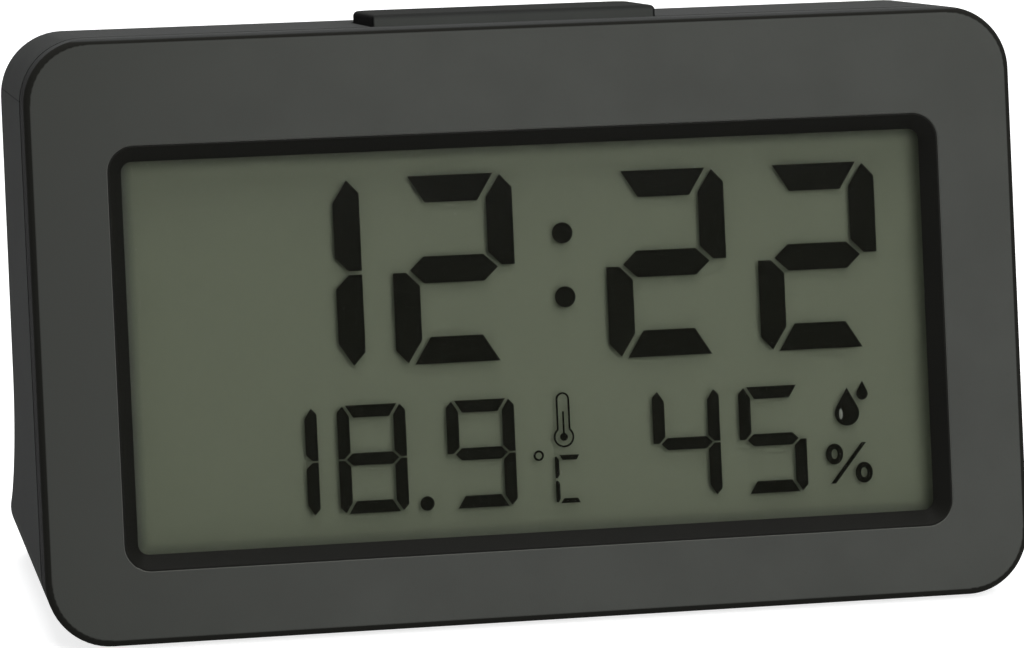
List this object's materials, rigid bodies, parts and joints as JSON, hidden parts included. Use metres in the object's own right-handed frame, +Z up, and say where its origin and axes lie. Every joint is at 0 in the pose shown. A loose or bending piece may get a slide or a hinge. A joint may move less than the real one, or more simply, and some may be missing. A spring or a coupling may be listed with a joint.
{
  "type": "thermometer hygrometer clock",
  "caption": "Table clock with a wide digital display for time, temperature and humidity, a leaning case on a broad heel, a snooze bar on top, and keys and a battery door behind.",
  "frame": {"origin": "centre of the bounding box in X and Y, at the underside of the rubber feet", "axes": "+X to the right seen from the display, +Y from the display to the back, +Z up"},
  "size_m": [0.125, 0.0506, 0.074],
  "materials": {
    "bezel_plastic": "fine spark-eroded satin, warm dark grey",
    "trim_plastic": "smooth black moulding",
    "case_plastic": "fine spark-eroded satin, warm dark grey",
    "bar_plastic": "fine satin, warm dark grey",
    "window_acrylic": "clear polished acrylic",
    "front_polariser": "clear film with an anti-glare face",
    "display_glass": "thin float glass",
    "rear_polariser": "reflecting film, olive grey",
    "guide_acrylic": "frosted acrylic",
    "holder_plastic": "white moulded plastic",
    "strip_rubber": "layered silicone rubber",
    "lamp_resin": "clear resin with a pale filling",
    "board_laminate": "green solder mask",
    "chip_resin": "black epoxy dome",
    "can_steel": "plated can",
    "sensor_shell": "white vented shell",
    "switch_body": "black moulded plastic",
    "key_plastic": "fine satin, warm dark grey",
    "cable_film": "white flat cable",
    "door_plastic": "fine satin, warm dark grey",
    "cell_jacket": "printed foil jacket with bare ends",
    "contact_plate": "nickel-plated strip",
    "spring_wire": "nickel-plated wire",
    "buzzer_brass": "brass disc with a pale ceramic layer",
    "foot_rubber": "moulded black rubber",
    "screw_steel": "zinc-plated"
  },
  "bodies": {
    "clock": {"front_bezel": "bezel_plastic", "window_trim": "trim_plastic", "rear_case": "case_plastic", "display_window": "window_acrylic", "lcd_front_polariser": "front_polariser", "lcd_front_glass": "display_glass", "lcd_rear_glass": "display_glass", "lcd_rear_polariser": "rear_polariser", "light_guide": "guide_acrylic", "lcd_holder": "holder_plastic", "contact_strip": "strip_rubber", "backlight_leds": "lamp_resin", "main_board": "board_laminate", "key_board": "board_laminate", "clock_chip": "chip_resin", "quartz_crystal": "can_steel", "climate_sensor": "sensor_shell", "snooze_switch": "switch_body", "key_switches": "switch_body", "key_cable": "cable_film", "upper_cell": "cell_jacket", "lower_cell": "cell_jacket", "positive_contact": "contact_plate", "negative_contact": "contact_plate", "bridge_contact": "contact_plate", "negative_spring": "spring_wire", "bridge_spring": "spring_wire", "buzzer_disc": "buzzer_brass", "rubber_feet": "foot_rubber", "case_screws": "screw_steel", "holder_screws": "screw_steel", "board_screws": "screw_steel", "key_board_screws": "screw_steel"},
    "bar": {"snooze_bar": "bar_plastic"},
    "mode": {"mode_key": "key_plastic"},
    "up": {"up_key": "key_plastic"},
    "down": {"down_key": "key_plastic"},
    "alarm": {"alarm_key": "key_plastic"},
    "door": {"battery_door": "door_plastic"}
  },
  "joints": [
    {"name": "snooze_press", "type": "slide", "parent": "clock", "child": "bar", "axis": [0, -0.1349, -0.9909], "range_m": [0, 0.0006], "stiffness_N_per_m": 800},
    {"name": "mode_key_press", "type": "slide", "parent": "clock", "child": "mode", "axis": [0, -0.9843, 0.1762], "range_m": [0, 0.0005], "stiffness_N_per_m": 600},
    {"name": "up_key_press", "type": "slide", "parent": "clock", "child": "up", "axis": [0, -0.9843, 0.1762], "range_m": [0, 0.0005], "stiffness_N_per_m": 600},
    {"name": "down_key_press", "type": "slide", "parent": "clock", "child": "down", "axis": [0, -0.9843, 0.1762], "range_m": [0, 0.0005], "stiffness_N_per_m": 600},
    {"name": "alarm_key_press", "type": "slide", "parent": "clock", "child": "alarm", "axis": [0, -0.9843, 0.1762], "range_m": [0, 0.0005], "stiffness_N_per_m": 600},
    {"name": "battery_door_hinge", "type": "hinge", "parent": "clock", "child": "door", "pos_m": [0, 0.01041, 0.02841], "axis": [-1, 0, 0], "range_deg": [0, 75]}
  ]
}
